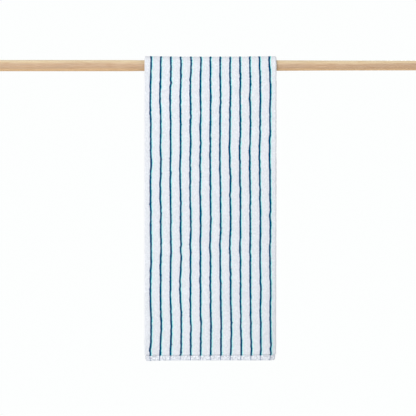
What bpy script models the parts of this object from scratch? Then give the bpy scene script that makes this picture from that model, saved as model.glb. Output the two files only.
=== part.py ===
"""Striped bath towel, folded in half lengthwise and hung over a round wooden rod.

Metres, +Z up. The origin is on the rod's axis at mid-length, +X runs along the rod and the front
of the towel faces -Y. The towel is one cloth with a hem at each end. Its fold is on the +X side
and its two woven edges lie one behind the other on the -X side.
"""

import math
from collections import namedtuple

import bmesh
import bpy
import numpy as np
from mathutils import Matrix

# The rod
ROD_DIAMETER = 0.028
ROD_LENGTH = 1.200
ROD_SIDES = 64
ROD_END_EASING = 0.0010

# The towel laid flat
TOWEL_LENGTH = 1.400
TOWEL_WIDTH = 0.700
PILE_THICKNESS = 0.0046
HEM_THICKNESS = 0.0026
HEM_DEPTH = 0.015

# The towel folded and hung
FOLDED_WIDTH = 0.352
LAYER_SPACING = 0.0055
FRONT_DROP = 0.788
REST_GAP = 0.0003
LAYERS_PART_BY = 0.0014
LAYERS_PART_WITHIN = 0.30

# How finely the cloth is divided
LAYER_STEPS = 13
FOLD_STEPS = 8
TURN_STEPS = 18
FRONT_STEPS = 15
BACK_STEPS = 11
RIM_STEPS = 4

# How the cloth thins and draws in towards each hem, by distance from the end of the cloth
ClothRow = namedtuple("ClothRow", "from_end thickness open_edge_in fold_in")
HEM_ROWS = (
    ClothRow(HEM_THICKNESS / 2, HEM_THICKNESS, 0.0062, 0.0027),
    ClothRow(0.0045, HEM_THICKNESS, 0.0044, 0.0025),
    ClothRow(0.0090, HEM_THICKNESS, 0.0034, 0.0024),
    ClothRow(HEM_DEPTH - 0.0005, HEM_THICKNESS, 0.0029, 0.0022),
    ClothRow(HEM_DEPTH + 0.0002, 0.85 * PILE_THICKNESS, 0.0026, 0.0008),
    ClothRow(HEM_DEPTH + 0.0020, PILE_THICKNESS, 0.0021, 0.0004),
    ClothRow(0.0240, PILE_THICKNESS, 0.0008, 0.0),
    ClothRow(0.0330, PILE_THICKNESS, 0.0, 0.0),
)
PLAIN_ROW = ClothRow(0.0, PILE_THICKNESS, 0.0, 0.0)
DRAWN_IN_POWER = 4

# Soft folds of the hanging cloth, each a ridge (or a trough, where height is negative) that
# begins below the rod and reaches its full height at the hem
SoftFold = namedtuple("SoftFold", "side middle half_width height starts_below")
FRONT = -1
OVER_ROD = 0
BACK = 1
SOFT_FOLDS = (
    SoftFold(FRONT, -0.040, 0.090, 0.0042, 0.08),
    SoftFold(FRONT, 0.110, 0.055, -0.0016, 0.15),
    SoftFold(FRONT, -0.152, 0.024, -0.0012, 0.45),
    SoftFold(BACK, 0.055, 0.085, 0.0038, 0.06),
    SoftFold(BACK, -0.080, 0.050, -0.0018, 0.12),
    SoftFold(BACK, -0.165, 0.030, 0.0022, 0.25),
)

REST_RADIUS = ROD_DIAMETER / 2 + REST_GAP
FOLD_RADIUS = LAYER_SPACING / 2
SHARP_ANGLE = math.radians(40)


def smooth_step(value):
    """0 below 0, 1 above 1, and 3 v^2 - 2 v^3 between."""
    held = np.clip(value, 0.0, 1.0)
    return held * held * (3.0 - 2.0 * held)


def back_drop(stand_off):
    """How far the cloth hangs behind: its length less the front drop and the half turn."""
    return TOWEL_LENGTH - FRONT_DROP - math.pi * (REST_RADIUS + stand_off)


def width_line():
    """The cloth's mid-line across its width, as seen in a cut through both layers.

    It runs along the outer layer from the open edge to the fold, turns through a half circle, and
    runs back along the inner layer. Gives x, the distance n from the rod, the unit normal's two
    parts, and 0 to 1 from the open edge to the fold for each point. The inner layer takes what is
    left of the cloth's width.
    """
    half = FOLDED_WIDTH / 2
    rounding = PILE_THICKNESS / 2
    turn_x = half - FOLD_RADIUS - rounding
    open_x = -half + rounding
    outer_run = turn_x - open_x
    inner_run = TOWEL_WIDTH - PILE_THICKNESS - outer_run - math.pi * FOLD_RADIUS
    middle_n = rounding + FOLD_RADIUS

    along = np.linspace(0.0, 1.0, LAYER_STEPS + 1)
    turn = np.linspace(0.0, math.pi, FOLD_STEPS + 1)[1:-1]
    straight = np.ones_like(along)
    x = np.concatenate((
        open_x + outer_run * along,
        turn_x + FOLD_RADIUS * np.sin(turn),
        turn_x - inner_run * along,
    ))
    n = np.concatenate((
        (middle_n + FOLD_RADIUS) * straight,
        middle_n + FOLD_RADIUS * np.cos(turn),
        (middle_n - FOLD_RADIUS) * straight,
    ))
    normal_x = np.concatenate((0.0 * straight, np.sin(turn), 0.0 * straight))
    normal_n = np.concatenate((straight, np.cos(turn), -straight))
    towards_fold = np.concatenate((along, np.ones_like(turn), 1.0 - along))
    return x, n, normal_x, normal_n, towards_fold


def clear_shares(full_drop, steps):
    """Even shares of a drop, from just above its hem rows up to just below the rod."""
    clear = 1.0 - HEM_ROWS[-1].from_end / full_drop
    return [clear * (1.0 - step / steps) for step in range(1, steps)]


def length_line():
    """The rows of points along the cloth, from the front hem over the rod to the back hem.

    Each row has its side (-1 in front, 0 round the rod, 1 behind), its place, and its ClothRow.
    Round the rod the place is the angle from the top. On a side it is the share of the full drop
    from which the ClothRow's distance from the end is taken.
    """
    rows = [(FRONT, 1.0, hem) for hem in HEM_ROWS]
    rows += [(FRONT, share, PLAIN_ROW) for share in clear_shares(FRONT_DROP, FRONT_STEPS)]
    for step in range(TURN_STEPS + 1):
        rows.append((OVER_ROD, math.pi * (step / TURN_STEPS - 0.5), PLAIN_ROW))
    back_shares = clear_shares(back_drop(0.0), BACK_STEPS)
    rows += [(BACK, share, PLAIN_ROW) for share in reversed(back_shares)]
    rows += [(BACK, 1.0, hem) for hem in reversed(HEM_ROWS)]
    return rows


def soft_fold_height(side, x, drop):
    """The sum of this side's soft folds: bell curves across x that grow down the drop."""
    total = np.zeros_like(x)
    full_drop = FRONT_DROP if side == FRONT else back_drop(0.0)
    for fold in SOFT_FOLDS:
        if fold.side == side:
            bell = np.exp(-((x - fold.middle) / fold.half_width) ** 2)
            growth = (drop - fold.starts_below) / (full_drop - fold.starts_below)
            total += fold.height * bell * smooth_step(growth)
    return total


def hang(side, place, x, n):
    """World points of section points (x, n) on one row of the cloth.

    Round the rod a point turns about its axis at the rest radius plus n, by the angle place. On a
    side it hangs straight down by the drop place, at the same distance moved out by the soft folds
    and by the parting of the layers, which grows with n.
    """
    radius = REST_RADIUS + n
    if side == OVER_ROD:
        return np.stack((x, radius * np.sin(place), radius * np.cos(place)), axis=-1)
    outer = n / (LAYER_SPACING + PILE_THICKNESS)
    apart = LAYERS_PART_BY * outer * smooth_step(place / LAYERS_PART_WITHIN)
    distance = radius + soft_fold_height(side, x, place) + apart
    return np.stack((x, side * distance, -place), axis=-1)


def towel_grid():
    """The cloth's outer and inner face as two grids of points, with rows along the length."""
    x, n, normal_x, normal_n, towards_fold = width_line()
    rows = []
    for side, place, cloth in length_line():
        drawn_in = cloth.open_edge_in * (1.0 - towards_fold) ** DRAWN_IN_POWER
        drawn_in -= cloth.fold_in * towards_fold ** DRAWN_IN_POWER
        if side == FRONT:
            place = FRONT_DROP * place - cloth.from_end
        if side == BACK:
            place = back_drop(n) * place - cloth.from_end
        place = place * np.ones_like(x)
        faces = []
        for offset in (cloth.thickness / 2, -cloth.thickness / 2):
            faces.append(hang(side, place, x + drawn_in + offset * normal_x, n + offset * normal_n))
        rows.append(faces)
    grid = np.array(rows)
    return grid[:, 0], grid[:, 1]


def rim_path(rows, columns):
    """Row and column of each grid point round the edge of the cloth, once round."""
    path = [(0, column) for column in range(columns)]
    path += [(row, columns - 1) for row in range(1, rows)]
    path += [(rows - 1, column) for column in range(columns - 2, -1, -1)]
    path += [(row, 0) for row in range(rows - 2, 0, -1)]
    return path


def edge_direction(middle, row, column):
    """Unit vector that leads out of the cloth at a point of its edge, in the cloth's plane."""
    rows, columns = middle.shape[:2]
    outward = np.zeros(3)
    if row in (0, rows - 1):
        inner = 1 if row == 0 else rows - 2
        along = middle[row, column] - middle[inner, column]
        outward += along / np.linalg.norm(along)
    if column in (0, columns - 1):
        inner = 1 if column == 0 else columns - 2
        across = middle[row, column] - middle[row, inner]
        outward += across / np.linalg.norm(across)
    return outward / np.linalg.norm(outward)


def towel_mesh():
    """The towel as one closed mesh: its two faces, joined all round by a half-round edge."""
    outer, inner = towel_grid()
    middle = (outer + inner) / 2
    rows, columns = middle.shape[:2]
    points = [tuple(point) for point in outer.reshape(-1, 3)]
    points += [tuple(point) for point in inner.reshape(-1, 3)]
    count = rows * columns
    faces = []
    for row in range(rows - 1):
        for column in range(columns - 1):
            corner = row * columns + column
            quad = (corner, corner + 1, corner + columns + 1, corner + columns)
            faces.append(quad)
            faces.append(tuple(count + index for index in reversed(quad)))

    strands = []
    for row, column in rim_path(rows, columns):
        corner = row * columns + column
        half_thickness = np.linalg.norm(outer[row, column] - inner[row, column]) / 2
        up = (outer[row, column] - middle[row, column]) / half_thickness
        out = edge_direction(middle, row, column)
        strand = [corner]
        for step in range(1, RIM_STEPS):
            angle = math.pi * (0.5 - step / RIM_STEPS)
            reach = math.cos(angle) * out + math.sin(angle) * up
            strand.append(len(points))
            points.append(tuple(middle[row, column] + half_thickness * reach))
        strand.append(count + corner)
        strands.append(strand)
    for index, strand in enumerate(strands):
        following = strands[(index + 1) % len(strands)]
        for step in range(RIM_STEPS):
            faces.append((strand[step], strand[step + 1], following[step + 1], following[step]))

    mesh = bpy.data.meshes.new("towel")
    mesh.from_pydata(points, [], faces)
    shape = bmesh.new()
    shape.from_mesh(mesh)
    bmesh.ops.recalc_face_normals(shape, faces=shape.faces)
    shape.to_mesh(mesh)
    shape.free()
    return mesh


def rod_mesh():
    """A round rod along X with flat sawn ends, whose edges are slightly eased."""
    shape = bmesh.new()
    bmesh.ops.create_cone(
        shape,
        cap_ends=True,
        segments=ROD_SIDES,
        radius1=ROD_DIAMETER / 2,
        radius2=ROD_DIAMETER / 2,
        depth=ROD_LENGTH,
        matrix=Matrix.Rotation(math.pi / 2, 4, "Y"),
    )
    end_faces = [face for face in shape.faces if len(face.verts) > 4]
    end_edges = [edge for face in end_faces for edge in face.edges]
    bmesh.ops.bevel(shape, geom=end_edges, offset=ROD_END_EASING, segments=1, affect="EDGES")
    mesh = bpy.data.meshes.new("rod")
    shape.to_mesh(mesh)
    shape.free()
    return mesh


def linear(channel):
    """An sRGB channel from 0 to 255 as a linear value."""
    value = channel / 255
    if value <= 0.04045:
        return value / 12.92
    return ((value + 0.055) / 1.055) ** 2.4


def material(name, red, green, blue, roughness):
    """A plain Principled material with an sRGB colour."""
    made = bpy.data.materials.new(name)
    made.use_nodes = True
    surface = made.node_tree.nodes["Principled BSDF"]
    surface.inputs["Base Color"].default_value = (linear(red), linear(green), linear(blue), 1.0)
    surface.inputs["Roughness"].default_value = roughness
    surface.inputs["Metallic"].default_value = 0.0
    return made


def add_piece(name, mesh, finish):
    """Puts a mesh in the scene as a named object with its own material, shaded smooth."""
    mesh.materials.append(finish)
    mesh.shade_smooth()
    mesh.set_sharp_from_angle(angle=SHARP_ANGLE)
    piece = bpy.data.objects.new(name, mesh)
    bpy.context.scene.collection.objects.link(piece)
    return piece


for old in list(bpy.data.objects):
    bpy.data.objects.remove(old, do_unlink=True)

add_piece("towel", towel_mesh(), material("white cotton terry", 236, 239, 244, 0.95))
add_piece("rod", rod_mesh(), material("pale bare wood", 214, 184, 152, 0.60))
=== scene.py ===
import math

import bpy
import numpy as np
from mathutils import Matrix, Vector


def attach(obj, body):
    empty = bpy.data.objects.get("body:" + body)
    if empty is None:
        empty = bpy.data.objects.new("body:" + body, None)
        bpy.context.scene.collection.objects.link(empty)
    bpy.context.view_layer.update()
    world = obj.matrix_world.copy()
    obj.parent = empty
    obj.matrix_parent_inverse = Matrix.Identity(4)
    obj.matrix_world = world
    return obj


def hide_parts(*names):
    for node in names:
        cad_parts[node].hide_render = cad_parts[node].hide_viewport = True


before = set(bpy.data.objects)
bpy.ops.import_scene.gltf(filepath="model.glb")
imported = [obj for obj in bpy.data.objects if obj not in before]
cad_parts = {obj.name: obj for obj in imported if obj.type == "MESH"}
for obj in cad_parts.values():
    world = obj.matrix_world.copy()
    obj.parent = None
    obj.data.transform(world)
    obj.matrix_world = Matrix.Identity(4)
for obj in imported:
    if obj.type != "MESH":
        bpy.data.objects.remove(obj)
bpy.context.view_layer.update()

# The cloth: one length of white cotton terry, 700 x 1400 mm, with narrow blue stripes woven along
# it. It is folded in half lengthwise and hung over the rod, its fold on the right and its two
# selvedges on the left. Here it is the ground weave and the two flat hems; its loops come next.

TOWEL_WIDTH = 0.700
TOWEL_LENGTH = 1.400
PILE_THICKNESS = 0.0046
HEM_THICKNESS = 0.0026
HEM_DEPTH = 0.0131
FOLDED_WIDTH = 0.352
LAYER_SPACING = 0.0055
FRONT_DROP = 0.788
ROD_RADIUS = 0.014
REST_RADIUS = ROD_RADIUS + 0.0003
LAYERS_PART_BY = 0.0014
LAYERS_PART_WITHIN = 0.30
FOLD_RADIUS = LAYER_SPACING / 2
TURN_X = FOLDED_WIDTH / 2 - FOLD_RADIUS - PILE_THICKNESS / 2
OPEN_X = -FOLDED_WIDTH / 2
FOLD_STARTS = TURN_X - OPEN_X
FOLD_ENDS = FOLD_STARTS + math.pi * FOLD_RADIUS
MIDDLE_N = PILE_THICKNESS / 2 + FOLD_RADIUS
FRONT, BACK = -1, 1

# How far the open edge and the fold are drawn in near a hem, by distance from the cloth's end
DRAWN_IN_AT = (0.0013, 0.0045, 0.0090, 0.0145, 0.0170, 0.0240, 0.0330)
OPEN_EDGE_IN = (0.0058, 0.0036, 0.0024, 0.0019, 0.0010, 0.0002, 0.0)
FOLD_IN = (0.0040, 0.0022, 0.0017, 0.0011, 0.0002, 0.0, 0.0)
DRAWN_IN_POWER = 22

# How much the hem rises at its middle and at its sides and how far up that reaches, and how loosely
# the sides lie on the rod
HEM_RISE_MIDDLE = 0.0008
HEM_RISE_SIDES = -0.0005
HEM_RISE_REACH = 1.2 * HEM_DEPTH
CREST_LOFT = 0.0014

# Soft folds of the hanging cloth: side, middle across, half width, height at the hem, first drop
SOFT_FOLDS = (
    (FRONT, -0.040, 0.090, 0.0042, 0.08),
    (FRONT, 0.110, 0.055, -0.0016, 0.15),
    (FRONT, -0.152, 0.024, -0.0012, 0.45),
    (FRONT, 0.190, 0.026, -0.0185, 0.16),
    (FRONT, 0.190, 0.090, -0.0060, 0.15),
    (FRONT, 0.190, 0.040, -0.0070, 0.52),
    (FRONT, -0.190, 0.045, 0.0175, 0.56),
    (BACK, 0.055, 0.085, 0.0038, 0.06),
    (BACK, -0.080, 0.050, -0.0018, 0.12),
    (BACK, -0.165, 0.030, 0.0022, 0.25),
)


def smooth_step(value):
    """0 below 0, 1 above 1, and 3 v^2 - 2 v^3 between."""
    held = np.clip(value, 0.0, 1.0)
    return held * held * (3.0 - 2.0 * held)


def back_drop(n):
    """What is left of the length behind, after the front drop and half a turn at distance n."""
    return TOWEL_LENGTH - FRONT_DROP - math.pi * (REST_RADIUS + n)


def across_cloth(u):
    """Where the cloth lies in a cut through both layers, at u from its outer open edge.

    The outer layer runs to the fold, which is a half circle, and the inner layer runs back. Gives
    x, the distance n from the rod, and the unit normal's two parts.
    """
    angle = np.clip((u - FOLD_STARTS) / FOLD_RADIUS, 0.0, math.pi)
    past = np.maximum(u - FOLD_ENDS, 0.0)
    x = np.minimum(OPEN_X + u, TURN_X) + FOLD_RADIUS * np.sin(angle) - past
    return x, MIDDLE_N + FOLD_RADIUS * np.cos(angle), np.sin(angle), np.cos(angle)


def soft_fold_height(side, x, drop):
    """The sum of one side's soft folds: bell curves across x that grow down the drop."""
    full_drop = FRONT_DROP if side == FRONT else back_drop(0.0)
    total = 0.0
    for fold_side, middle, half_width, height, starts_below in SOFT_FOLDS:
        if fold_side == side:
            growth = smooth_step((drop - starts_below) / (full_drop - starts_below))
            total = total + height * growth * np.exp(-((x - middle) / half_width) ** 2)
    return total


def place(u, v, lift):
    """The point of the hung cloth at u across and v along from the front hem, lifted off its middle.

    In front the drop is the front drop less v. Round the rod the angle is the rest of v divided by
    the cloth's own radius, and behind the drop is what remains. On a side the point stands off
    the rod's axis by its radius, the soft folds and the parting of the layers. Near the ends the
    open edge and the fold are drawn in by the tables, and the hem rises by a share of its bow.
    """
    x, n, normal_x, normal_n = across_cloth(u)
    from_end = np.minimum(v, TOWEL_LENGTH - v)
    along_layer = np.where(u < FOLD_STARTS, u, FOLD_ENDS + FOLD_STARTS - u)
    towards_fold = np.clip(along_layer / FOLD_STARTS, 0, 1)
    x = x + np.interp(from_end, DRAWN_IN_AT, OPEN_EDGE_IN) * (1.0 - towards_fold) ** DRAWN_IN_POWER
    x = x - np.interp(from_end, DRAWN_IN_AT, FOLD_IN) * towards_fold ** DRAWN_IN_POWER
    x = x + lift * normal_x
    sideways = (2.0 * towards_fold - 1.0) ** 2
    rise = HEM_RISE_MIDDLE + (HEM_RISE_SIDES - HEM_RISE_MIDDLE) * sideways
    rise = rise * smooth_step(1.0 - from_end / HEM_RISE_REACH)
    half_turn = math.pi * (REST_RADIUS + n)
    n_lifted = n + lift * normal_n
    radius = REST_RADIUS + n_lifted
    angle = math.pi * np.clip((v - FRONT_DROP) / half_turn, 0.0, 1.0) - math.pi / 2
    drop = np.maximum(FRONT_DROP - v, 0.0) + np.maximum(v - FRONT_DROP - half_turn, 0.0)
    folds = np.where(v < FRONT_DROP, soft_fold_height(FRONT, x, drop), soft_fold_height(BACK, x, drop))
    outer = n_lifted / (LAYER_SPACING + PILE_THICKNESS)
    stand_off = folds + LAYERS_PART_BY * outer * smooth_step(drop / LAYERS_PART_WITHIN)
    y = radius * np.sin(angle) + stand_off * np.sign(angle) * (drop > 0.0)
    crest = (radius + CREST_LOFT * sideways * np.cos(angle)) * np.cos(angle)
    z = crest * (drop == 0.0) - drop + rise
    return np.stack((x, y, z), axis=-1)


# The stripes: about 5 mm wide and 26.6 mm apart, the first 16.1 mm from the open edge
STRIPE_PITCH = 0.02658
FIRST_STRIPE = 0.0161

# The warp wanders sideways: usual size of the wander, its reach across and along the cloth, a seed.
# Past the middle of the outer layer it leans as well, by up to LEAN.
WANDERS = (
    (0.00070, 0.260, 0.090, 5),
    (0.00048, 0.045, 0.044, 6),
    (0.00036, 0.012, 0.010, 7),
)
LEAN = 0.0013
LEAN_FROM = 0.12

# Blending random values narrows their spread by about this factor
BLENDING_LOSS = 1.35


def patches(u, v, across, along, seed):
    """Smooth noise of about unit spread: random values on a net, blended between its knots.

    The net covers the whole cloth and a mesh more all round, and its meshes are the two sizes given.
    Within one, the four knots' values are blended by the smooth step of each share, and multiplied
    by what that loses.
    """
    column, share_u = np.divmod(u / across + 1.0, 1.0)
    row, share_v = np.divmod(v / along + 1.0, 1.0)
    knots = np.random.default_rng(seed).normal(size=(
        math.ceil(TOWEL_LENGTH / along) + 3, math.ceil(TOWEL_WIDTH / across) + 3))
    column, row = column.astype(int), row.astype(int)
    share_u, share_v = smooth_step(share_u), smooth_step(share_v)
    low = knots[row, column] * (1 - share_u) + knots[row, column + 1] * share_u
    high = knots[row + 1, column] * (1 - share_u) + knots[row + 1, column + 1] * share_u
    return BLENDING_LOSS * (low * (1 - share_v) + high * share_v)


def warp_wander(u, v):
    """Sideways stray of the warp at (u, v): noise of three sizes, and a slow lean near the fold.

    The lean is half a wave down the front fall, and grows from LEAN_FROM to twice as far across.
    Within a hem the stray stays what it is at the hem's edge.
    """
    v = np.clip(v, HEM_DEPTH, TOWEL_LENGTH - HEM_DEPTH)
    stray = LEAN * smooth_step((u - LEAN_FROM) / LEAN_FROM) * np.cos(math.pi * v / FRONT_DROP)
    for size, across, along, seed in WANDERS:
        stray = stray + size * patches(u, v, across, along, seed)
    return stray


def mesh_piece(name, points, faces, finish, smooth=True):
    """A mesh object from an array of points and arrays of quads or triangles."""
    mesh = bpy.data.meshes.new(name)
    mesh.vertices.add(len(points))
    mesh.vertices.foreach_set("co", points.astype(np.float32).ravel())
    corners = np.concatenate([block.ravel() for block in faces])
    sizes = np.concatenate([np.full(len(block), block.shape[1]) for block in faces])
    mesh.loops.add(len(corners))
    mesh.loops.foreach_set("vertex_index", corners.astype(np.int32))
    mesh.polygons.add(len(sizes))
    mesh.polygons.foreach_set("loop_start", (np.cumsum(sizes) - sizes).astype(np.int32))
    mesh.polygons.foreach_set("use_smooth", np.full(len(sizes), smooth))
    mesh.update(calc_edges=True)
    mesh.validate()
    mesh.materials.append(finish)
    piece = bpy.data.objects.new(name, mesh)
    bpy.context.scene.collection.objects.link(piece)
    return piece


def linear(hex_colour):
    """An sRGB hex colour as a linear colour with alpha."""
    shares = np.array([int(hex_colour[start:start + 2], 16) for start in (1, 3, 5)]) / 255
    low, high = shares / 12.92, ((shares + 0.055) / 1.055) ** 2.4
    return (*np.where(shares <= 0.04045, low, high), 1.0)


def add_node(tree, kind, inputs=None, **settings):
    """Adds a node, sets its options, and fills its inputs with values or with other outputs."""
    made = tree.nodes.new(kind)
    for name, value in settings.items():
        setattr(made, name, value)
    for socket, value in (inputs or {}).items():
        if isinstance(value, bpy.types.NodeSocket):
            tree.links.new(value, made.inputs[socket])
        else:
            made.inputs[socket].default_value = value
    return made


def new_material(name):
    """An empty node material: gives it, its tree and its output node."""
    finish = bpy.data.materials.new(name)
    finish.use_nodes = True
    finish.node_tree.nodes.clear()
    return finish, finish.node_tree, finish.node_tree.nodes.new("ShaderNodeOutputMaterial")


# Bleached cotton ground weave: matt, cool white, with the blue warp ends showing through between
# the loops, and on the flat hems as thin grey-blue lines over fine ribs. The ribs are drawn twice
# and the slubs' flecks about five times as coarse as real ones, so that they show. Where loops
# stand, the ground is greyer: painted shade in the gaps between them.
COTTON_WHITE = "#DFE1E6"
# Painted shade: the ground in the gaps between the loops
PAINTED_GAP_SHADE = "#C9CCD2"
# Painted shade: the ground in the seam's groove, between the hem and the pile
SEAM_SHADE = "#BDC0C7"
HEM_WHITE = "#E5E8EE"
HEM_SHADE = "#969BA5"
INK_BLUE = "#043A5E"
HEM_BLUE = "#5F7692"

# Where the seam lies, how softly hem and pile meet, how far a stripe is shifted on the hem, half its
# width in the pile and there, and how softly it ends
SEAM_TOP = 0.0157
SEAM_MIDDLE = (HEM_DEPTH + SEAM_TOP) / 2
BORDER_FADE = 0.0004
HEM_STRIPE_SHIFT = 0.0010
PILE_STRIPE_HALF = 0.0024
HEM_STRIPE_HALF = 0.0009
STRIPE_EDGE_IN = -0.0003
STRIPE_EDGE_OUT = 0.0004

# Sizes of the hem's ribs and slubs, and of the pebbles that stand for loops on the hidden ground
RIB_WIDTH = 0.0012
RIB_LENGTH = 0.0024
RIB_RELIEF = 0.0006
SLUB_WIDTH = 0.002632
SLUB_LENGTH = 0.004348
FLECKS_FROM = 0.30
FLECKS_TO = 0.67
LOOP_SPACING = 0.0026
PEBBLE_RELIEF = -0.0016

ground, tree, output = new_material("bleached cotton ground weave")
cloth = add_node(tree, "ShaderNodeAttribute", attribute_name="cloth")
parts = add_node(tree, "ShaderNodeSeparateXYZ", {"Vector": cloth.outputs["Vector"]})
in_pile = add_node(tree, "ShaderNodeMapRange", {
    "Value": parts.outputs["Z"], "From Min": HEM_DEPTH - BORDER_FADE,
    "From Max": HEM_DEPTH + BORDER_FADE})
stripe_place = add_node(tree, "ShaderNodeMapRange", {
    "Value": in_pile.outputs[0], "To Min": HEM_STRIPE_SHIFT - FIRST_STRIPE, "To Max": -FIRST_STRIPE})
from_stripe = add_node(tree, "ShaderNodeMath", {
    0: parts.outputs["X"], 1: stripe_place.outputs[0]}, operation="ADD")
to_stripe = add_node(tree, "ShaderNodeMath", {0: from_stripe.outputs[0], 1: STRIPE_PITCH / 2},
                     operation="PINGPONG")
half_stripe = add_node(tree, "ShaderNodeMapRange", {
    "Value": in_pile.outputs[0], "To Min": HEM_STRIPE_HALF, "To Max": PILE_STRIPE_HALF})
past_stripe = add_node(tree, "ShaderNodeMath", {
    0: to_stripe.outputs[0], 1: half_stripe.outputs[0]}, operation="SUBTRACT")
stripe = add_node(tree, "ShaderNodeMapRange", {
    "Value": past_stripe.outputs[0], "From Min": STRIPE_EDGE_IN, "From Max": STRIPE_EDGE_OUT,
    "To Min": 1.0, "To Max": 0.0})
slubs = add_node(tree, "ShaderNodeVectorMath", {
    0: cloth.outputs["Vector"], 1: (1.0 / SLUB_WIDTH, 1.0 / SLUB_LENGTH, 0.0)}, operation="MULTIPLY")
flecks = add_node(tree, "ShaderNodeTexNoise", {
    "Vector": slubs.outputs[0], "Scale": 1.0, "Detail": 2.0})
fleck = add_node(tree, "ShaderNodeMapRange", {
    "Value": flecks.outputs["Fac"], "From Min": FLECKS_FROM, "From Max": FLECKS_TO})
flat_woven = add_node(tree, "ShaderNodeMix", {
    "Factor": fleck.outputs[0], "A": linear(HEM_SHADE), "B": linear(HEM_WHITE)}, data_type="RGBA")
under_loops = add_node(tree, "ShaderNodeAttribute", attribute_name="under_loops")
# Painted shade in the gaps: the ground is greyer where loops stand over it
ground_and_gap_shade = add_node(tree, "ShaderNodeMix", {
    "Factor": under_loops.outputs["Fac"], "A": linear(COTTON_WHITE), "B": linear(PAINTED_GAP_SHADE)},
    data_type="RGBA")
above_seam = add_node(tree, "ShaderNodeMapRange", {
    "Value": parts.outputs["Z"], "From Min": SEAM_TOP - BORDER_FADE,
    "From Max": SEAM_TOP + BORDER_FADE})
# Painted shade in the seam's groove, from the hem up to the seam's top
seam_groove_shade = add_node(tree, "ShaderNodeMix", {
    "Factor": above_seam.outputs[0], "A": linear(SEAM_SHADE), "B": ground_and_gap_shade.outputs["Result"]},
    data_type="RGBA")
plain = add_node(tree, "ShaderNodeMix", {
    "Factor": in_pile.outputs[0], "A": flat_woven.outputs["Result"], "B": seam_groove_shade.outputs["Result"]},
    data_type="RGBA")
dyed = add_node(tree, "ShaderNodeMix", {
    "Factor": in_pile.outputs[0], "A": linear(HEM_BLUE), "B": linear(INK_BLUE)}, data_type="RGBA")
colour = add_node(tree, "ShaderNodeMix", {
    "Factor": stripe.outputs[0], "A": plain.outputs["Result"], "B": dyed.outputs["Result"]},
    data_type="RGBA")
ribbed = add_node(tree, "ShaderNodeVectorMath", {
    0: cloth.outputs["Vector"], 1: (1.0 / RIB_WIDTH, 1.0 / RIB_LENGTH, 0.0)}, operation="MULTIPLY")
ribs = add_node(tree, "ShaderNodeTexNoise", {
    "Vector": ribbed.outputs[0], "Scale": 1.0, "Detail": 3.0})
relief = add_node(tree, "ShaderNodeBump", {
    "Height": ribs.outputs["Fac"], "Strength": 0.5, "Distance": RIB_RELIEF})
bare = add_node(tree, "ShaderNodeMath", {
    0: in_pile.outputs[0], 1: under_loops.outputs["Fac"]}, operation="SUBTRACT", use_clamp=True)
pebbles = add_node(tree, "ShaderNodeTexVoronoi", {
    "Vector": cloth.outputs["Vector"], "Scale": 1.0 / LOOP_SPACING})
relief = add_node(tree, "ShaderNodeBump", {
    "Height": pebbles.outputs["Distance"], "Strength": bare.outputs[0],
    "Distance": PEBBLE_RELIEF, "Normal": relief.outputs["Normal"]})
surface = add_node(tree, "ShaderNodeBsdfPrincipled", {
    "Base Color": colour.outputs["Result"], "Roughness": 0.95, "Sheen Weight": 0.15,
    "Sheen Roughness": 0.5, "Specular IOR Level": 0.2, "Normal": relief.outputs["Normal"]})
tree.links.new(surface.outputs["BSDF"], output.inputs["Surface"])

# How finely the ground is divided. Near a hem the rows are closest at its end and at its seam.
LAYER_STEPS = 36
FOLD_STEPS = 12
TURN_STEPS = 24
ROW_SPACING = 0.0075
RIM_STEPS = 4
HEM_ROWS = (0.0013, 0.0025, 0.0045, 0.0068, 0.0090, 0.0108, 0.0120, 0.0130, 0.0137, 0.0143, 0.0149,
            0.0156, 0.0165, 0.0182, 0.0205, 0.0240, 0.0285, 0.0330)

# How far a face stands off the ground's middle, under loops and where none are drawn, how deep and
# wide the seam's groove is, and how long the step up from the hem is
GROUND_UNDER_LOOPS = 0.0010
GROUND_BARE = 0.00215
SEAM_GROOVE = 0.0013
SEAM_HALF_WIDTH = 0.0010
HEM_STEP = 0.0015

# Where the inner layer's loops end and where they start again, where those on its other face start,
# and how long it takes from bare to looped
INNER_LOOPS_END = 0.27
BACK_LOOPS_START = TOWEL_LENGTH - 0.031
STRIP_START = TOWEL_LENGTH - 0.0255
LONG_FADE = 0.010
SHORT_FADE = 0.004


def cloth_columns():
    """Distances across the cloth: even along each layer, and finer round the fold."""
    edge = HEM_THICKNESS / 2
    outer = np.linspace(edge, FOLD_STARTS, LAYER_STEPS + 1)
    fold = np.linspace(FOLD_STARTS, FOLD_ENDS, FOLD_STEPS + 1)[1:-1]
    inner = np.linspace(FOLD_ENDS, TOWEL_WIDTH - edge, LAYER_STEPS + 1)
    return np.concatenate((outer, fold, inner))


def cloth_rows(n):
    """Distances along the cloth for each column, whose middle stands n off the rod.

    Close rows at both hems, even rows down each fall, and rows at even angles round the rod.
    """
    hem = np.array(HEM_ROWS)[:, None] + 0.0 * n
    clear = HEM_ROWS[-1]
    front_count = round((FRONT_DROP - clear) / ROW_SPACING)
    front = np.linspace(clear, FRONT_DROP, front_count, endpoint=False)[1:, None] + 0.0 * n
    half_turn = math.pi * (REST_RADIUS + n)
    turn = FRONT_DROP + np.linspace(0.0, 1.0, TURN_STEPS + 1)[:, None] * half_turn
    back_count = round((back_drop(0.0) - clear) / ROW_SPACING)
    share = np.linspace(0.0, 1.0, back_count, endpoint=False)[1:, None]
    back = FRONT_DROP + half_turn + share * (back_drop(n) - clear)
    return np.concatenate((hem, front, turn, back, TOWEL_LENGTH - hem[::-1]))


def in_inner_layer(u):
    """0 up to a short fade past the fold, and 1 from a long fade further in the inner layer."""
    return smooth_step((u - FOLD_ENDS - SHORT_FADE) / LONG_FADE)


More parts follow.
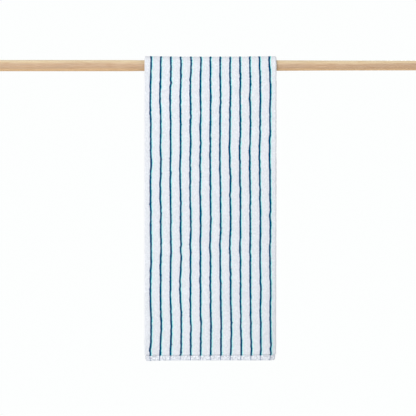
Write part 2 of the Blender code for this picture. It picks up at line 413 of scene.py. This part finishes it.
def looped(u, v):
    """1 where loops stand: all but the inner layer's part that the other fall or the rod hides."""
    past_front = smooth_step((v - INNER_LOOPS_END) / LONG_FADE)
    before_back = smooth_step((BACK_LOOPS_START - v) / SHORT_FADE)
    return 1.0 - in_inner_layer(u) * past_front * before_back


def looped_behind(u, v):
    """1 where loops stand on the cloth's other face: the strip of the inner layer seen from behind."""
    return in_inner_layer(u) * smooth_step((v - STRIP_START) / SHORT_FADE)


def ground_lift(v, share_looped):
    """How far a face of the ground stands off its middle: less under loops, in the hem and the seam.

    The seam's groove is a bell curve across it.
    """
    from_end = np.minimum(v, TOWEL_LENGTH - v)
    lift = GROUND_BARE + (GROUND_UNDER_LOOPS - GROUND_BARE) * share_looped
    in_hem = 1.0 - smooth_step((from_end - HEM_DEPTH) / HEM_STEP)
    groove = SEAM_GROOVE * np.exp(-((from_end - SEAM_MIDDLE) / SEAM_HALF_WIDTH) ** 2)
    return lift + (HEM_THICKNESS / 2 - lift) * in_hem - groove


def ground_mesh():
    """The cloth's two faces on one grid, joined by a half-round edge all round."""
    columns = cloth_columns()
    u = columns[None, :]
    v = cloth_rows(across_cloth(columns)[1])
    u = u + 0.0 * v
    from_end = np.minimum(v, TOWEL_LENGTH - v)
    outer = place(u, v, ground_lift(v, looped(u, v)))
    inner = place(u, v, -ground_lift(v, looped_behind(u, v)))
    count_rows, count_columns = u.shape
    count = u.size
    index = np.arange(count).reshape(u.shape)
    quads = np.stack((index[:-1, :-1], index[:-1, 1:], index[1:, 1:], index[1:, :-1]), axis=-1)
    quads = quads.reshape(-1, 4)

    rim = np.concatenate((index[0, :-1], index[:-1, -1], index[-1, :0:-1], index[:0:-1, 0]))
    row, column = np.divmod(rim, count_columns)
    middle = (outer + inner) / 2
    out = np.zeros((len(rim), 3))
    for step_row, step_column, chosen in (
        (1, 0, row == 0), (-1, 0, row == count_rows - 1),
        (0, 1, column == 0), (0, -1, column == count_columns - 1),
    ):
        at = (row[chosen], column[chosen])
        away = middle[at] - middle[at[0] + step_row, at[1] + step_column]
        out[chosen] += away / np.linalg.norm(away, axis=1, keepdims=True)
    out /= np.linalg.norm(out, axis=1, keepdims=True)
    half = (outer[row, column] - inner[row, column]) / 2
    reach = np.linalg.norm(half, axis=1, keepdims=True)
    strands = [rim]
    points = [outer.reshape(-1, 3), inner.reshape(-1, 3)]
    for step in range(1, RIM_STEPS):
        angle = math.pi * (0.5 - step / RIM_STEPS)
        points.append(middle[row, column] + math.cos(angle) * reach * out + math.sin(angle) * half)
        strands.append(2 * count + (step - 1) * len(rim) + np.arange(len(rim)))
    strands.append(count + rim)
    strand = np.stack(strands)
    following = np.roll(strand, -1, axis=1)
    edge = np.stack((strand[:-1], strand[1:], following[1:], following[:-1]), axis=-1).reshape(-1, 4)

    stray = warp_wander(u, v)
    marks = np.stack((u - stray, v, from_end), axis=-1).reshape(-1, 3)
    marks = np.concatenate([marks, marks] + [marks[rim]] * (RIM_STEPS - 1))
    shade = np.concatenate((looped(u, v).ravel(), looped_behind(u, v).ravel()))
    shade = np.concatenate((shade, np.zeros(len(marks) - 2 * count)))
    return np.concatenate(points), [quads, count + quads[:, ::-1], edge], marks, shade


points, faces, marks, shade = ground_mesh()
towel = mesh_piece("towel_ground", points, faces, ground)
towel.data.attributes.new("cloth", "FLOAT_VECTOR", "POINT").data.foreach_set(
    "vector", marks.astype(np.float32).ravel())
towel.data.attributes.new("under_loops", "FLOAT", "POINT").data.foreach_set(
    "value", shade.astype(np.float32))
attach(towel, "root")
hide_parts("towel")


# The loops: uncut pile of soft two-ply cotton, woven in columns along the cloth, eleven columns to
# a stripe's repeat. Eight are white, two are deep blue and the one right of them is pale turquoise.
# They stand a little farther apart than real ones, so that each shows as a hump of its own.
COLUMNS_EACH = 11
COLUMN_PITCH = STRIPE_PITCH / COLUMNS_EACH
ROW_PITCH = 0.00225

# How high a loop's foot and ridge stand over the cloth's middle, how far those at the front selvedge
# lean out, how near a selvedge they come, and how much prouder they are round the fold
LOOP_FOOT = 0.0006
LOOP_TOP = 0.00212
EDGE_LEAN = 0.0005
EDGE_AT = 0.0025
PROUD_AT_FOLD = 0.0005

# A loop's foot in shares of its half width and half length, its ridge's ends, and its faces
LOOP_SIDES = ((0.55, -1.0), (1.0, 0.0), (0.55, 1.0), (-0.55, 1.0), (-1.0, 0.0), (-0.55, -1.0))
LOOP_RIDGE = (-0.4, 0.4)
LOOP_FACES = ((5, 0, 6), (0, 1, 6), (1, 7, 6), (1, 2, 7), (2, 3, 7), (3, 4, 7), (4, 6, 7), (4, 5, 6))

# A loop's half width and half length in shares of the pitch, the usual stray of its turn, width,
# length, lean, height and place, and how much of these drifts from patch to patch
HALF_WIDTH = 0.66
HALF_LENGTH = 0.60
TURN_STRAY = 0.40
WIDTH_STRAY = 0.05
LENGTH_STRAY = 0.06
LEAN_STRAY = 0.00050
LEAN_DOWN = -0.00020
TOP_STRAY = 0.00020
ACROSS_STRAY = 0.00025
ALONG_STRAY = 0.00030
WIDER_IF_FULL = 0.04
LONGER_IF_FULL = 0.02
HIGHER_IF_FULL = 0.00016
LEAN_DRIFT = 0.00012
STOUTNESS_DRIFT = 0.03

# How much of a column's fullness goes to its loops' height, and the fullness past which none does
FULLNESS_TO_TOP = 0.4
FULLEST_TOP = 1.1

# The patches in which loops drift alike: reach across and along the cloth, and a seed
FULL_PATCHES = (0.0018, 0.0065, 31)
LEAN_ACROSS_PATCHES = (0.005, 0.007, 32)
LEAN_ALONG_PATCHES = (0.005, 0.007, 33)
STOUT_PATCHES = (0.020, 0.006, 34)

rng = np.random.default_rng(23)


def loop_grid(u_low, u_high, v_low, v_high, finer=1, face=1):
    """Middles of the loops in a field of cloth, each one's column in its repeat, and the cloth's face.

    Columns stand at even distances, the first of a repeat just right of a stripe's middle; every
    other column is shifted by half a row, and the whole wanders with the warp. Finer makes the
    columns that many times closer.
    """
    pitch = COLUMN_PITCH / finer
    first = math.ceil((u_low - FIRST_STRIPE) / pitch - 0.5)
    last = math.floor((u_high - FIRST_STRIPE) / pitch - 0.5)
    column = np.arange(first, last + 1)
    row = np.arange(math.floor((v_high - v_low) / ROW_PITCH))
    u = FIRST_STRIPE + (column[None, :] + 0.5) * pitch + 0.0 * row[:, None]
    v = v_low + (row[:, None] + 0.25 + 0.5 * (column[None, :] % 2)) * ROW_PITCH
    number = (column // finer) % COLUMNS_EACH + 0.0 * row[:, None]
    u = np.clip(u + warp_wander(u, v), EDGE_AT, TOWEL_WIDTH - EDGE_AT)
    return u.ravel(), v.ravel(), number.ravel(), np.full(u.size, face)


def loop_humps(name, chosen, finish, fullness=1.0, unevenness=1.0):
    """Humps of the chosen loops: a turned six-sided foot in the ground, a short leaning ridge on top.

    Width and length are the pitch times a share that strays and drifts. The fullness widens a loop,
    and raises its ridge up to a limit. The unevenness widens the spread of the widths and of the
    places across. On the cloth's other face the lift and the way across are turned round.
    """
    u, v, face = loop_u[chosen], loop_v[chosen], loop_face[chosen, None]
    count = len(u)
    full = patches(u, v, *FULL_PATCHES)
    turn = rng.normal(0.0, TURN_STRAY, count)
    fullness = fullness * (1.0 + STOUTNESS_DRIFT * patches(u, v, *STOUT_PATCHES))
    wide = HALF_WIDTH + WIDER_IF_FULL * full + rng.normal(0.0, WIDTH_STRAY * unevenness, count)
    wide = fullness * COLUMN_PITCH * wide
    long = HALF_LENGTH + LONGER_IF_FULL * full + rng.normal(0.0, LENGTH_STRAY, count)
    long = ROW_PITCH * long
    lean_u = rng.normal(0.0, LEAN_STRAY, count) + LEAN_DRIFT * patches(u, v, *LEAN_ACROSS_PATCHES)
    lean_v = rng.normal(LEAN_DOWN, LEAN_STRAY, count) + LEAN_DRIFT * patches(u, v, *LEAN_ALONG_PATCHES)
    lean_u = lean_u - EDGE_LEAN * np.exp(-u / COLUMN_PITCH)
    top = LOOP_TOP * (1.0 + FULLNESS_TO_TOP * (np.minimum(fullness, FULLEST_TOP) - 1.0))
    top = top + HIGHER_IF_FULL * full + rng.normal(0.0, TOP_STRAY, count)
    top = top + PROUD_AT_FOLD * across_cloth(u)[2]
    u = u + rng.normal(0.0, ACROSS_STRAY * unevenness, count)
    v = v + rng.normal(0.0, ALONG_STRAY, count)
    foot_across, foot_along = np.array(LOOP_SIDES).T
    ridge = np.array(LOOP_RIDGE)
    across = face * np.hstack((wide[:, None] * foot_across, lean_u[:, None] + 0.0 * ridge))
    along = np.hstack((long[:, None] * foot_along, lean_v[:, None] + long[:, None] * ridge))
    cosine, sine = np.cos(turn)[:, None], np.sin(turn)[:, None]
    lift = np.stack([np.full(count, LOOP_FOOT)] * len(LOOP_SIDES) + [top, top], axis=1)
    points = place(
        u[:, None] + cosine * across - face * sine * along,
        v[:, None] + face * sine * across + cosine * along,
        face * lift,
    )
    sides = lift.shape[1] * np.arange(count)[:, None, None] + LOOP_FACES
    return mesh_piece(name, points.reshape(-1, 3), [sides.reshape(-1, 3)], finish)


# Bleached cotton pile yarn, loosely spun: matt and cool white, greyer in blotches of about a loop's
# size, with a fine relief of twist and fibres. These are drawn as coarse as they need to show.
LOOP_WHITE = "#E2E4E8"
LOOP_WHITE_SHADE = "#C6C9D0"
BLOTCH_WIDTH = 0.001923
BLOTCH_LONGER = 2.5
BLOTCH_FROM = 0.3
BLOTCH_TO = 0.7
YARN_TURN = 0.0007143
YARN_RELIEF = 0.0004

white_cotton, tree, output = new_material("bleached cotton loops")
where = add_node(tree, "ShaderNodeTexCoord")
drawn_out = add_node(tree, "ShaderNodeVectorMath", {
    0: where.outputs["Object"], 1: (1.0, 1.0, 1.0 / BLOTCH_LONGER)}, operation="MULTIPLY")
blotch = add_node(tree, "ShaderNodeTexNoise", {
    "Vector": drawn_out.outputs[0], "Scale": 1.0 / BLOTCH_WIDTH, "Detail": 1.0})
blotch = add_node(tree, "ShaderNodeMapRange", {
    "Value": blotch.outputs["Fac"], "From Min": BLOTCH_FROM, "From Max": BLOTCH_TO})
colour = add_node(tree, "ShaderNodeMix", {
    "Factor": blotch.outputs[0], "A": linear(LOOP_WHITE_SHADE), "B": linear(LOOP_WHITE)},
    data_type="RGBA")
yarn = add_node(tree, "ShaderNodeTexNoise", {
    "Vector": where.outputs["Object"], "Scale": 1.0 / YARN_TURN, "Detail": 2.0})
relief = add_node(tree, "ShaderNodeBump", {
    "Height": yarn.outputs["Fac"], "Strength": 0.4, "Distance": YARN_RELIEF})
surface = add_node(tree, "ShaderNodeBsdfPrincipled", {
    "Base Color": colour.outputs["Result"], "Roughness": 0.95, "Sheen Weight": 0.2,
    "Sheen Roughness": 0.5, "Specular IOR Level": 0.2, "Normal": relief.outputs["Normal"]})
tree.links.new(surface.outputs["BSDF"], output.inputs["Surface"])

# Dyed cotton pile yarn, deep blue or pale turquoise: matt, and uneven from one patch to the next,
# where the dye took more or less
LOOP_BLUE = "#004D79"
LOOP_BLUE_DEEP = "#00365C"
LOOP_TURQUOISE = "#A2EDE9"
LOOP_TURQUOISE_DEEP = "#90E3E1"
DYE_PATCH = 0.008333


def dyed_loops(name, deep, light):
    """A matt dyed cotton whose colour drifts between two shades along the yarns."""
    finish, tree, output = new_material(name)
    where = add_node(tree, "ShaderNodeTexCoord")
    blotch = add_node(tree, "ShaderNodeTexNoise", {
        "Vector": where.outputs["Object"], "Scale": 1.0 / DYE_PATCH, "Detail": 3.0})
    colour = add_node(tree, "ShaderNodeMix", {
        "Factor": blotch.outputs["Fac"], "A": linear(deep), "B": linear(light)}, data_type="RGBA")
    surface = add_node(tree, "ShaderNodeBsdfPrincipled", {
        "Base Color": colour.outputs["Result"], "Roughness": 0.95, "Specular IOR Level": 0.05})
    tree.links.new(surface.outputs["BSDF"], output.inputs["Surface"])
    return finish


blue_cotton = dyed_loops("blue dyed cotton loops", LOOP_BLUE_DEEP, LOOP_BLUE)
turquoise_cotton = dyed_loops("turquoise dyed cotton loops", LOOP_TURQUOISE_DEEP, LOOP_TURQUOISE)

# How far loops keep from the hem, how much closer columns stand round the fold, how many white loops
# go into one mesh, how full the blue columns are, and how much the white ones alternate
CLEAR_OF_HEM = 0.0006
CLOSER_AT_FOLD = 1.5
LOOPS_EACH = 24000
BLUE_LEFT_FULLNESS = 1.25
BLUE_RIGHT_FULLNESS = 1.31
BLUE_UNEVENNESS = 2.2
UNEVEN_COLUMNS = 0.14

# The fields: the outer layer, the fold, the inner layer's two ends, and the strip seen from behind
pile_low = HEM_DEPTH + CLEAR_OF_HEM
pile_high = TOWEL_LENGTH - pile_low
fields = (
    loop_grid(0.0, FOLD_STARTS, pile_low, pile_high),
    loop_grid(FOLD_STARTS, FOLD_ENDS, pile_low, pile_high, finer=CLOSER_AT_FOLD),
    loop_grid(FOLD_ENDS, TOWEL_WIDTH, pile_low, INNER_LOOPS_END),
    loop_grid(FOLD_ENDS, TOWEL_WIDTH, BACK_LOOPS_START, pile_high),
    loop_grid(FOLD_ENDS, TOWEL_WIDTH, STRIP_START + SHORT_FADE, pile_high, face=-1),
)
loop_u, loop_v, column, loop_face = (np.concatenate(part) for part in zip(*fields))
blue = (column == 0) | (column == COLUMNS_EACH - 1)
turquoise = column == 1
white = ~blue & ~turquoise & (np.minimum(loop_v, TOWEL_LENGTH - loop_v) > SEAM_TOP)
white_order = np.flatnonzero(white)
white_order = white_order[np.argsort(loop_v[white_order], kind="stable")]
loops = []
for number, start in enumerate(range(0, len(white_order), LOOPS_EACH)):
    chosen = white_order[start:start + LOOPS_EACH]
    fullness = 1.0 + UNEVEN_COLUMNS * (2.0 * (column[chosen] % 2) - 1.0)
    name = f"white_loops_{number + 1}"
    loops.append(loop_humps(name, chosen, white_cotton, fullness))
loops.append(loop_humps("turquoise_loops", np.flatnonzero(turquoise), turquoise_cotton))
fullness = np.where(column == 0, BLUE_RIGHT_FULLNESS, BLUE_LEFT_FULLNESS)[blue]
loops.append(loop_humps("blue_loops", np.flatnonzero(blue), blue_cotton, fullness, BLUE_UNEVENNESS))

# The hems' seams: one row of lockstitch in white cotton thread, sunk in the groove that it pulls
# into the cloth where the turned hem ends. Each stitch is a short bowed capsule.
SEAM_STARTS = 0.0050
STITCH_PITCH = 0.0030
STITCH_HALF_LENGTH = 0.00125
STITCH_RADIUS = 0.00024
STITCH_BOW = 0.00030
STITCH_SIDES = 5

# A stitch's rings: place along it and width, in shares of its half length and of its radius
STITCH_RINGS = ((-1.0, 0.0), (-0.85, 0.8), (0.0, 1.0), (0.85, 0.8), (1.0, 0.0))


def seam_stitches(name, finish):
    """Bowed capsules end to end across both hems, each of rings round a short arc over the groove.

    Along a stitch the lift is the ground's, plus a bow that is highest in its middle. The first
    and the last ring are one point each, so they share their number all round.
    """
    middle = np.arange(SEAM_STARTS, TOWEL_WIDTH - SEAM_STARTS, STITCH_PITCH)[:, None, None]
    along, wide = np.array(STITCH_RINGS).T[:, None, :, None]
    angle = np.linspace(0.0, 2.0 * math.pi, STITCH_SIDES, endpoint=False)
    rows = []
    for seam in (SEAM_MIDDLE, TOWEL_LENGTH - SEAM_MIDDLE):
        u = middle + STITCH_HALF_LENGTH * along + 0.0 * angle
        v = seam + STITCH_RADIUS * wide * np.cos(angle) + 0.0 * middle
        bow = STITCH_BOW * (1.0 - along ** 2)
        groove = ground_lift(seam + 0.0 * u, looped(u, seam + 0.0 * u))
        rows.append(place(u, v, groove + bow + STITCH_RADIUS * wide * np.sin(angle)))
    rings = np.concatenate(rows)
    kept = np.ones(rings.shape[:3], bool)
    kept[:, [0, -1], 1:] = False
    index = (np.cumsum(kept) - 1).reshape(kept.shape)
    following = np.roll(index, -1, axis=2)
    first = np.stack((index[:, 0], following[:, 1], index[:, 1]), axis=-1)
    last = np.stack((index[:, -2], following[:, -2], index[:, -1]), axis=-1)
    walls = np.stack((index[:, 1:-2], following[:, 1:-2], following[:, 2:-1], index[:, 2:-1]), axis=-1)
    faces = [first.reshape(-1, 3), walls.reshape(-1, 4), last.reshape(-1, 3)]
    return mesh_piece(name, rings[kept], faces, finish)


# White cotton sewing thread, tightly twisted: matt, painted greyer as the shade of the groove it
# lies in, and with each turn a little darker in its hollows as painted shade
THREAD_GROOVE_SHADED = "#D3D5DA"
THREAD_HOLLOW_SHADE = "#B4B7BE"
THREAD_TWIST = 0.0005556

thread, tree, output = new_material("white cotton thread")
where = add_node(tree, "ShaderNodeTexCoord")
twist = add_node(tree, "ShaderNodeTexNoise", {
    "Vector": where.outputs["Object"], "Scale": 1.0 / THREAD_TWIST, "Detail": 1.0})
# Painted shade: the twist's hollows darker, the whole thread greyer in the groove
colour = add_node(tree, "ShaderNodeMix", {
    "Factor": twist.outputs["Fac"], "A": linear(THREAD_HOLLOW_SHADE), "B": linear(THREAD_GROOVE_SHADED)},
    data_type="RGBA")
surface = add_node(tree, "ShaderNodeBsdfPrincipled", {
    "Base Color": colour.outputs["Result"], "Roughness": 0.85, "Specular IOR Level": 0.3})
tree.links.new(surface.outputs["BSDF"], output.inputs["Surface"])

sewn = loops + [seam_stitches("hem_stitches", thread)]
for piece in sewn:
    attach(piece, "root")


# The rod: one plain round rod of pale, close-grained wood, rounded by hand and sanded, so that it is
# a little stouter on the left and a hair higher on the right. Its ends are sawn square with the
# edges eased.
ROD_LENGTH = 1.200
ROD_SIDES = 96
END_EASING = 0.0010
ROD_RINGS = 48

# Places along the rod, with its radius and how far its middle stands over the frame's axis there
ROD_AT = (-0.600, -0.215, -0.182, 0.170, 0.210, 0.300, 0.600)
ROD_RADII = (0.01498, 0.01495, 0.01435, 0.01412, 0.01390, 0.01340, 0.01288)
ROD_RISES = (0.00005, 0.00005, 0.0, 0.00015, 0.00022, 0.00026, 0.00022)
SHARP_EDGE = math.radians(35)

# Pale bare wood, cut along the grain and sanded: satin, with its growth rings as long faint bands,
# a paler sapwood band on top that is also a painted highlight, and a warmer inner wood band below
# that is also painted warm bounce light. Its fibres, fine dark lines along the rod, are drawn
# several times as coarse as real ones, so that they show.
WOOD_TAN = "#AA9179"
WOOD_WARM = "#BB9D7D"
# Also a painted highlight: the pale band lies along the rod's upper part
SAPWOOD_AND_TOP_HIGHLIGHT = "#D8C7A5"
# Also painted warm bounce light: the band lies along the rod's lower part
INNER_WOOD_AND_BOUNCE = "#CEAC82"
FIBRE_TAN = "#DDC3A8"

# Where the tree's pith lay, how the grain turns off the rod's axis and is drawn out along it, how
# wide the rings are and how they waver, and how the tone drifts between the two middle shades
PITH = (0.0, 0.012, -0.055)
GRAIN_TURN = 0.0018
LONG_GRAIN = (0.05, 1.0, 1.0)
RING_PITCH = 0.0042
RING_WAVER = 0.006
WAVER_REACH = 0.009091
RING_CONTRAST = 0.1
DRIFT_REACH = 0.004348
DRIFT_CONTRAST = 1.4
DRIFT_SHIFT = 0.2

# How far from the pith the sapwood and its painted highlight start and the inner wood and its
# painted bounce light end, how much darker the rod is to the right, and the size, contrast and
# relief of the fibres
SAPWOOD_AND_HIGHLIGHT_FROM = 0.0660
SAPWOOD_AND_HIGHLIGHT_FADE = 0.0070
INNER_WOOD_AND_BOUNCE_TO = 0.0560
INNER_WOOD_AND_BOUNCE_FADE = 0.004
DARKER_TO_THE_RIGHT = 0.06
FIBRE_PITCH = 0.0014
FIBRES_FROM = 0.40
FIBRES_TO = 0.70
FIBRE_STRENGTH = 0.55
FIBRE_RELIEF = -0.0003

wood, tree, output = new_material("sanded pale wood")
where = add_node(tree, "ShaderNodeTexCoord")
turned = add_node(tree, "ShaderNodeMapping", {
    "Vector": where.outputs["Object"], "Rotation": (0.0, -GRAIN_TURN, 0.0)})
from_pith = add_node(tree, "ShaderNodeVectorMath", {
    0: turned.outputs["Vector"], 1: PITH}, operation="SUBTRACT")
long_way = add_node(tree, "ShaderNodeVectorMath", {
    0: from_pith.outputs[0], 1: LONG_GRAIN}, operation="MULTIPLY")
waver = add_node(tree, "ShaderNodeTexNoise", {
    "Vector": long_way.outputs[0], "Scale": 1.0 / WAVER_REACH, "Detail": 2.0})
round_pith = add_node(tree, "ShaderNodeVectorMath", {
    0: from_pith.outputs[0], 1: (0.0, 1.0, 1.0)}, operation="MULTIPLY")
radial = add_node(tree, "ShaderNodeVectorMath", {0: round_pith.outputs[0]}, operation="LENGTH")
strayed = add_node(tree, "ShaderNodeMath", {
    0: waver.outputs["Fac"], 1: RING_WAVER, 2: radial.outputs["Value"]}, operation="MULTIPLY_ADD")
ring = add_node(tree, "ShaderNodeMath", {0: strayed.outputs[0], 1: RING_PITCH}, operation="PINGPONG")
banded = add_node(tree, "ShaderNodeMapRange", {
    "Value": ring.outputs[0], "From Min": 0.0, "From Max": RING_PITCH,
    "To Min": -RING_CONTRAST, "To Max": RING_CONTRAST})
drift = add_node(tree, "ShaderNodeTexNoise", {
    "Vector": long_way.outputs[0], "Scale": 1.0 / DRIFT_REACH, "Detail": 3.0})
tone = add_node(tree, "ShaderNodeMath", {
    0: drift.outputs["Fac"], 1: DRIFT_CONTRAST, 2: banded.outputs[0]}, operation="MULTIPLY_ADD")
tone = add_node(tree, "ShaderNodeMath", {
    0: tone.outputs[0], 1: DRIFT_SHIFT}, operation="SUBTRACT", use_clamp=True)
heart = add_node(tree, "ShaderNodeMix", {
    "Factor": tone.outputs[0], "A": linear(WOOD_TAN), "B": linear(WOOD_WARM)}, data_type="RGBA")
# Painted highlight: the pale sapwood band on the rod's upper part
sapwood_and_highlight = add_node(tree, "ShaderNodeMapRange", {
    "Value": strayed.outputs[0], "From Min": SAPWOOD_AND_HIGHLIGHT_FROM, "From Max": SAPWOOD_AND_HIGHLIGHT_FROM + SAPWOOD_AND_HIGHLIGHT_FADE})
# Painted warm bounce light: the warmer inner wood band on the rod's lower part
inner_wood_and_bounce = add_node(tree, "ShaderNodeMapRange", {
    "Value": strayed.outputs[0], "From Min": INNER_WOOD_AND_BOUNCE_TO - INNER_WOOD_AND_BOUNCE_FADE,
    "From Max": INNER_WOOD_AND_BOUNCE_TO, "To Min": 1.0, "To Max": 0.0})
lower = add_node(tree, "ShaderNodeMix", {
    "Factor": inner_wood_and_bounce.outputs[0], "A": heart.outputs["Result"], "B": linear(INNER_WOOD_AND_BOUNCE)},
    data_type="RGBA")
colour = add_node(tree, "ShaderNodeMix", {
    "Factor": sapwood_and_highlight.outputs[0], "A": lower.outputs["Result"], "B": linear(SAPWOOD_AND_TOP_HIGHLIGHT)},
    data_type="RGBA")
fibre = add_node(tree, "ShaderNodeTexNoise", {
    "Vector": long_way.outputs[0], "Scale": 1.0 / FIBRE_PITCH, "Detail": 3.0})
dark_fibre = add_node(tree, "ShaderNodeMapRange", {
    "Value": fibre.outputs["Fac"], "From Min": FIBRES_FROM, "From Max": FIBRES_TO,
    "To Max": FIBRE_STRENGTH})
along_rod = add_node(tree, "ShaderNodeSeparateXYZ", {"Vector": where.outputs["Object"]})
dark_share = add_node(tree, "ShaderNodeMath", {
    0: along_rod.outputs["X"], 1: DARKER_TO_THE_RIGHT, 2: dark_fibre.outputs[0]},
    operation="MULTIPLY_ADD", use_clamp=True)
colour = add_node(tree, "ShaderNodeMix", {
    "Factor": dark_share.outputs[0], "A": colour.outputs["Result"], "B": linear(FIBRE_TAN)},
    data_type="RGBA", blend_type="MULTIPLY")
relief = add_node(tree, "ShaderNodeBump", {
    "Height": fibre.outputs["Fac"], "Strength": 0.15, "Distance": FIBRE_RELIEF})
surface = add_node(tree, "ShaderNodeBsdfPrincipled", {
    "Base Color": colour.outputs["Result"], "Roughness": 0.62, "Normal": relief.outputs["Normal"]})
tree.links.new(surface.outputs["BSDF"], output.inputs["Surface"])


def turned_rod():
    """Rings round X, with radius and rise read from the few given; those at the ends are eased."""
    half = ROD_LENGTH / 2
    inner = np.linspace(-half + END_EASING, half - END_EASING, ROD_RINGS)
    along = np.concatenate(([-half], inner, [half]))
    radius = np.interp(along, ROD_AT, ROD_RADII)
    radius[[0, -1]] -= END_EASING
    rise = np.interp(along, ROD_AT, ROD_RISES)
    angle = np.linspace(0.0, 2 * math.pi, ROD_SIDES, endpoint=False)
    rings = np.stack(np.broadcast_arrays(
        along[:, None], radius[:, None] * np.cos(angle), rise[:, None] + radius[:, None] * np.sin(angle)),
        axis=-1)
    index = np.arange(rings.shape[0] * ROD_SIDES).reshape(-1, ROD_SIDES)
    following = np.roll(index, -1, axis=1)
    walls = np.stack((index[:-1], following[:-1], following[1:], index[1:]), axis=-1).reshape(-1, 4)
    ends = np.stack((index[0, ::-1], index[-1]))
    return rings.reshape(-1, 3), [walls, ends]


points, faces = turned_rod()
rod = mesh_piece("turned_rod", points, faces, wood)
rod.data.set_sharp_from_angle(angle=SHARP_EDGE)
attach(rod, "root")
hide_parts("rod")


# The floor: plain and round, well below the towel. It is painted in a matt off-white that is rolled
# on, so its tone is faintly cloudy.
FLOOR_BELOW = 1.25
FLOOR_RADIUS = 2.8
FLOOR_SIDES = 96
FLOOR_WHITE = "#F4F4F3"
FLOOR_SHADE = "#EFEFEE"
CLOUD_REACH = 0.6667

floor_paint, tree, output = new_material("pale painted floor")
where = add_node(tree, "ShaderNodeTexCoord")
cloudy = add_node(tree, "ShaderNodeTexNoise", {
    "Vector": where.outputs["Object"], "Scale": 1.0 / CLOUD_REACH})
colour = add_node(tree, "ShaderNodeMix", {
    "Factor": cloudy.outputs["Fac"], "A": linear(FLOOR_SHADE), "B": linear(FLOOR_WHITE)},
    data_type="RGBA")
surface = add_node(tree, "ShaderNodeBsdfPrincipled", {
    "Base Color": colour.outputs["Result"], "Roughness": 0.8})
tree.links.new(surface.outputs["BSDF"], output.inputs["Surface"])
angle = np.linspace(0.0, 2 * math.pi, FLOOR_SIDES, endpoint=False)
ring = FLOOR_RADIUS * np.stack((np.cos(angle), np.sin(angle), 0.0 * angle), axis=1)
ring[:, 2] = -FLOOR_BELOW
floor = mesh_piece("floor", ring, [np.arange(FLOOR_SIDES)[None, :]], floor_paint, smooth=False)


# The studio: white surroundings, a large soft light in front on the left, a weak one high on the
# right and one behind, and a long lens straight in front of the towel.

# Linear colours: what the camera sees past the object, and what light comes level and from above
BACKDROP = (0.982, 0.995, 0.991, 1.0)
LIGHT_LEVEL = (0.66, 0.66, 0.66, 1.0)
LIGHT_ABOVE = (0.52, 0.52, 0.52, 1.0)

# Each soft light's name, place, aim, width in metres and power in watts
LIGHTS = (
    ("key", (-1.60, -3.85, 0.9), (0.0, 0.0, -0.35), 3.2, 141.0),
    ("fill", (2.4, -0.8, 1.5), (0.15, 0.0, -0.1), 1.6, 17.0),
    ("back", (1.4, 3.0, 0.5), (0.0, 0.0, -0.3), 1.8, 80.0),
)

# The photo's scale at the towel's front face in metres a pixel, its width in pixels, the column of
# the towel's middle, the lens and sensor in millimetres, and how far below the rod the camera stands
PIXEL = 0.002667
FRAME_PIXELS = 416
TOWEL_COLUMN = 210.60
LENS = 200.0
SENSOR_WIDTH = 36.0
CAMERA_BELOW = 0.3812

scene = bpy.context.scene
scene.view_settings.view_transform = "Standard"
scene.view_settings.look = "None"
world = bpy.data.worlds.new("white surroundings")
scene.world = world
world.use_nodes = True
tree = world.node_tree
direction = add_node(tree, "ShaderNodeTexCoord")
height = add_node(tree, "ShaderNodeSeparateXYZ", {"Vector": direction.outputs["Generated"]})
surroundings = add_node(tree, "ShaderNodeMix", {
    "Factor": height.outputs["Z"], "A": LIGHT_LEVEL, "B": LIGHT_ABOVE}, data_type="RGBA")
seen = add_node(tree, "ShaderNodeMix", {
    "Factor": add_node(tree, "ShaderNodeLightPath").outputs["Is Camera Ray"],
    "A": surroundings.outputs["Result"], "B": BACKDROP}, data_type="RGBA")
tree.links.new(seen.outputs["Result"], tree.nodes["Background"].inputs["Color"])

for name, stands_at, aim, width, power in LIGHTS:
    light = bpy.data.objects.new(name, bpy.data.lights.new(name, "AREA"))
    light.data.shape = "DISK"
    light.data.size = width
    light.data.energy = power
    light.location = stands_at
    light.rotation_euler = (Vector(aim) - Vector(stands_at)).to_track_quat("-Z", "Y").to_euler()
    scene.collection.objects.link(light)

camera = bpy.data.objects.new("camera", bpy.data.cameras.new("camera"))
camera.data.lens = LENS
camera.data.sensor_width = SENSOR_WIDTH
distance = FRAME_PIXELS * PIXEL * LENS / SENSOR_WIDTH
front_face = REST_RADIUS + LAYER_SPACING + PILE_THICKNESS
camera.location = ((FRAME_PIXELS / 2 - TOWEL_COLUMN) * PIXEL, -distance - front_face, -CAMERA_BELOW)
camera.rotation_euler = (math.pi / 2, 0.0, 0.0)
scene.collection.objects.link(camera)
scene.camera = camera
